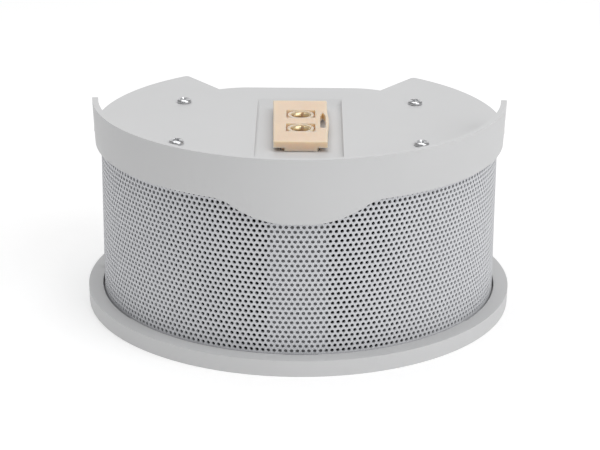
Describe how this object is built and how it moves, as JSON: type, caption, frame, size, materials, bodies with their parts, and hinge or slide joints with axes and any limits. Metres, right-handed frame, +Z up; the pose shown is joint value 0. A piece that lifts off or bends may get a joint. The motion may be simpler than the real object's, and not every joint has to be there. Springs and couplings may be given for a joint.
{
  "type": "alarm siren",
  "caption": "Half-drum alarm siren with a perforated front, an upstanding front lip round a flat seat, a plug-in power socket and a notched rear; two sprung sound drivers inside.",
  "frame": {"origin": "on the drum's axis at the underside of the base plate", "axes": "-Y towards the front, +X towards the right seen from the front, +Z up out of the seat"},
  "size_m": [0.16, 0.1443, 0.0791],
  "materials": {
    "grey_plastic": "fine matt texture, light grey",
    "pale_plastic": "matt light grey",
    "grey_sheet": "powder coat, light bluish grey",
    "beige_plastic": "satin beige",
    "black_plastic": "matt black",
    "black_cloth": "fine woven cloth",
    "rubber": "matt",
    "paper": "pressed paper pulp",
    "spider_cloth": "resin-dipped cotton",
    "gold": "gold plate over copper alloy",
    "steel": "zinc plated",
    "copper": "enamelled copper wire",
    "ferrite": "sintered, matt dark grey",
    "board_green": "solder mask over glass epoxy",
    "red_lead": "PVC sleeve",
    "black_lead": "PVC sleeve"
  },
  "bodies": {
    "housing": {"acoustic_cloth_left": "black_cloth", "acoustic_cloth_right": "black_cloth", "amplifier_chip": "black_plastic", "baffle_left": "black_plastic", "baffle_right": "black_plastic", "base_plate": "grey_plastic", "base_screw_front_left": "steel", "base_screw_front_right": "steel", "base_screw_rear_left": "steel", "base_screw_rear_right": "steel", "basket_left": "steel", "basket_right": "steel", "cap_screw_front_left": "steel", "cap_screw_front_right": "steel", "cap_screw_rear_left": "steel", "cap_screw_rear_right": "steel", "cap_seal": "rubber", "capacitor": "black_lead", "circuit_board": "board_green", "connector_housing": "beige_plastic", "connector_retainer": "black_plastic", "contact_front": "gold", "contact_rear": "gold", "driver_lead_left": "black_lead", "driver_lead_right": "black_lead", "driver_screw_left_1": "black_plastic", "driver_screw_left_2": "black_plastic", "driver_screw_left_3": "black_plastic", "driver_screw_left_4": "black_plastic", "driver_screw_right_1": "black_plastic", "driver_screw_right_2": "black_plastic", "driver_screw_right_3": "black_plastic", "driver_screw_right_4": "black_plastic", "front_pillar": "pale_plastic", "front_washer_left": "steel", "front_washer_right": "steel", "grille": "grey_sheet", "inductor": "copper", "lead_header": "black_plastic", "magnet_left": "ferrite", "magnet_right": "ferrite", "pole_yoke_left": "steel", "pole_yoke_right": "steel", "power_lead_minus": "black_lead", "power_lead_plus": "red_lead", "rear_housing": "grey_plastic", "spider_left": "spider_cloth", "spider_right": "spider_cloth", "surround_left": "rubber", "surround_right": "rubber", "terminal_tag_left": "black_plastic", "terminal_tag_right": "black_plastic", "top_cap": "grey_plastic"},
    "diaphragm_left": {"cone_left": "paper", "dust_cap_left": "paper", "voice_coil_left": "copper"},
    "diaphragm_right": {"cone_right": "paper", "dust_cap_right": "paper", "voice_coil_right": "copper"}
  },
  "joints": [
    {"name": "diaphragm_left_travel", "type": "slide", "parent": "housing", "child": "diaphragm_left", "axis": [-0.7431, -0.6691, 0], "range_m": [-0.001, 0.001], "stiffness_N_per_m": 1500},
    {"name": "diaphragm_right_travel", "type": "slide", "parent": "housing", "child": "diaphragm_right", "axis": [0.7431, -0.6691, 0], "range_m": [-0.001, 0.001], "stiffness_N_per_m": 1500}
  ]
}
